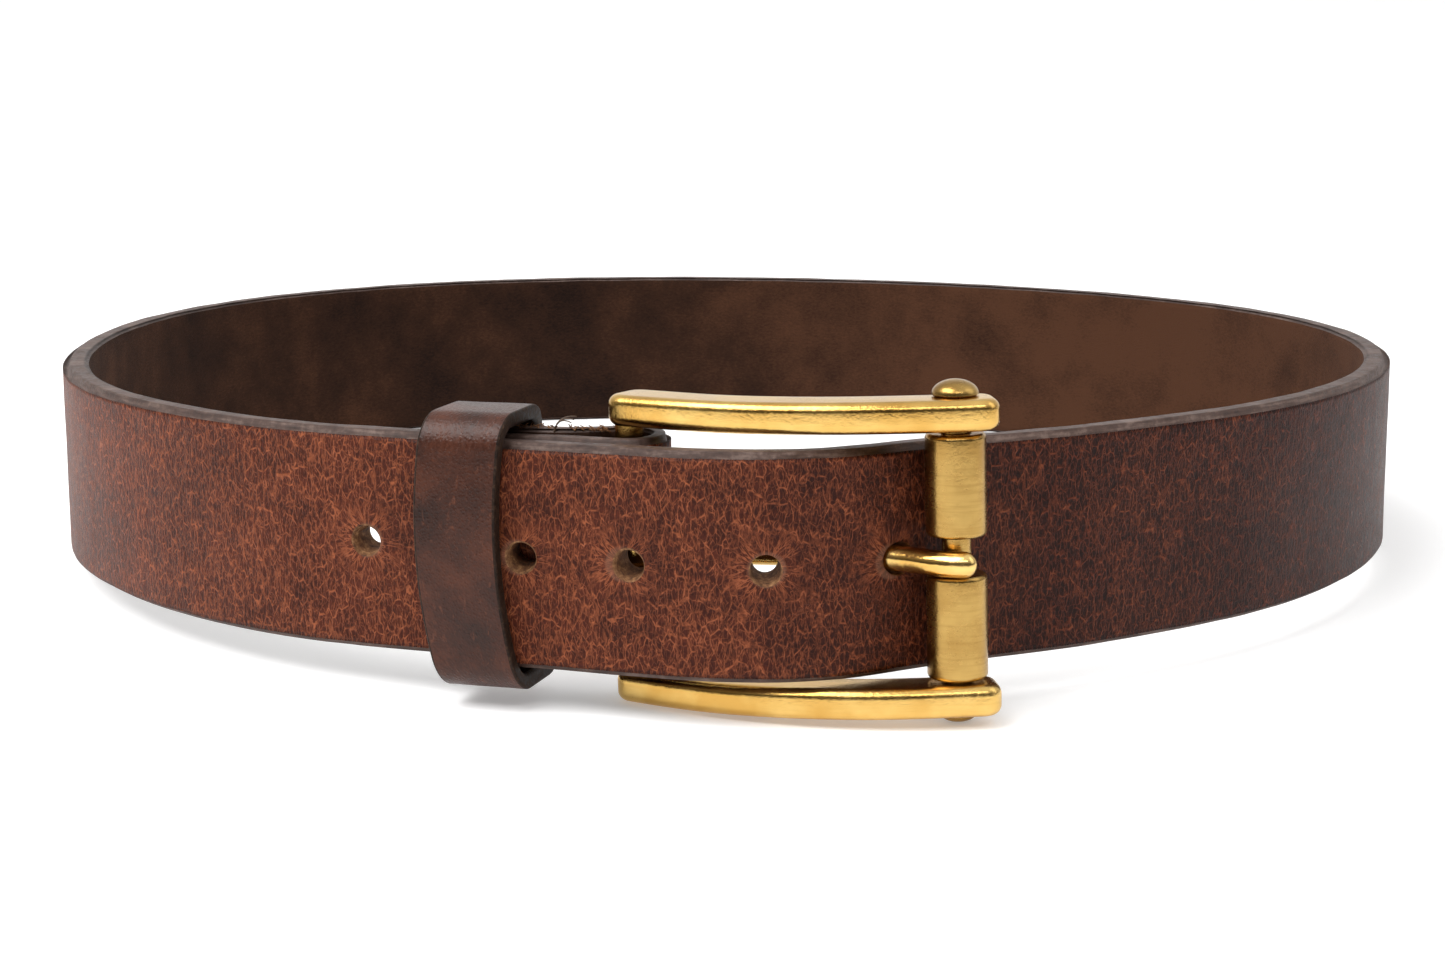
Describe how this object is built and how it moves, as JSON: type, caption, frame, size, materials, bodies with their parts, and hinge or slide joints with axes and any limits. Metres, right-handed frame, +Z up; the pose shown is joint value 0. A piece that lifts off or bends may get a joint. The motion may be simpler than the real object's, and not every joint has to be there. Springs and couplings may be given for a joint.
{
  "type": "leather belt",
  "caption": "Leather belt fastened in a loop, with a brass roller buckle, a prong in a punched hole and a leather keeper.",
  "frame": {"origin": "under the middle of the belt's box, at the height of its lowest point", "axes": "+X along the buckle towards the front bar, +Y from the buckle to the back of the loop, +Z up across the strap's width"},
  "size_m": [0.2802, 0.2933, 0.057],
  "materials": {
    "strap_leather": "oiled pull-up grain with light creases",
    "keeper_leather": "smooth dark grain, burnished edges",
    "satin_brass": "satin polished, rounded edges",
    "staple_wire": "drawn wire",
    "linen_thread": "waxed, twisted"
  },
  "bodies": {
    "strap": {"strap": "strap_leather", "thread_row_near": "linen_thread", "thread_row_far": "linen_thread"},
    "buckle_frame": {"buckle_frame": "satin_brass", "front_bar": "satin_brass"},
    "roller_upper": {"roller_upper": "satin_brass"},
    "roller_lower": {"roller_lower": "satin_brass"},
    "prong": {"prong": "satin_brass"},
    "keeper": {"keeper": "keeper_leather", "keeper_staple_left": "staple_wire", "keeper_staple_right": "staple_wire"}
  },
  "joints": [
    {"name": "heel_bar_hinge", "type": "hinge", "parent": "strap", "child": "buckle_frame", "pos_m": [-0.01539, -0.1258, 0.02634], "axis": [-0.0209, 0, 0.9998], "range_deg": [-0.45, 0.1]},
    {"name": "prong_hinge", "type": "hinge", "parent": "buckle_frame", "child": "prong", "pos_m": [-0.01539, -0.1258, 0.02634], "axis": [-0.0209, 0, 0.9998], "range_deg": [-0.3, 0.2]},
    {"name": "upper_roller_spin", "type": "hinge", "parent": "buckle_frame", "child": "roller_upper", "pos_m": [0.03789, -0.1396, 0.02745], "axis": [-0.0209, 0, 0.9998], "continuous": true},
    {"name": "lower_roller_spin", "type": "hinge", "parent": "buckle_frame", "child": "roller_lower", "pos_m": [0.03789, -0.1396, 0.02745], "axis": [-0.0209, 0, 0.9998], "continuous": true},
    {"name": "keeper_slide", "type": "hinge", "parent": "strap", "child": "keeper", "pos_m": [0.01297, 0.0554, 0.0079], "axis": [0, 0, 1], "range_deg": [-1.5, 0.3]}
  ]
}
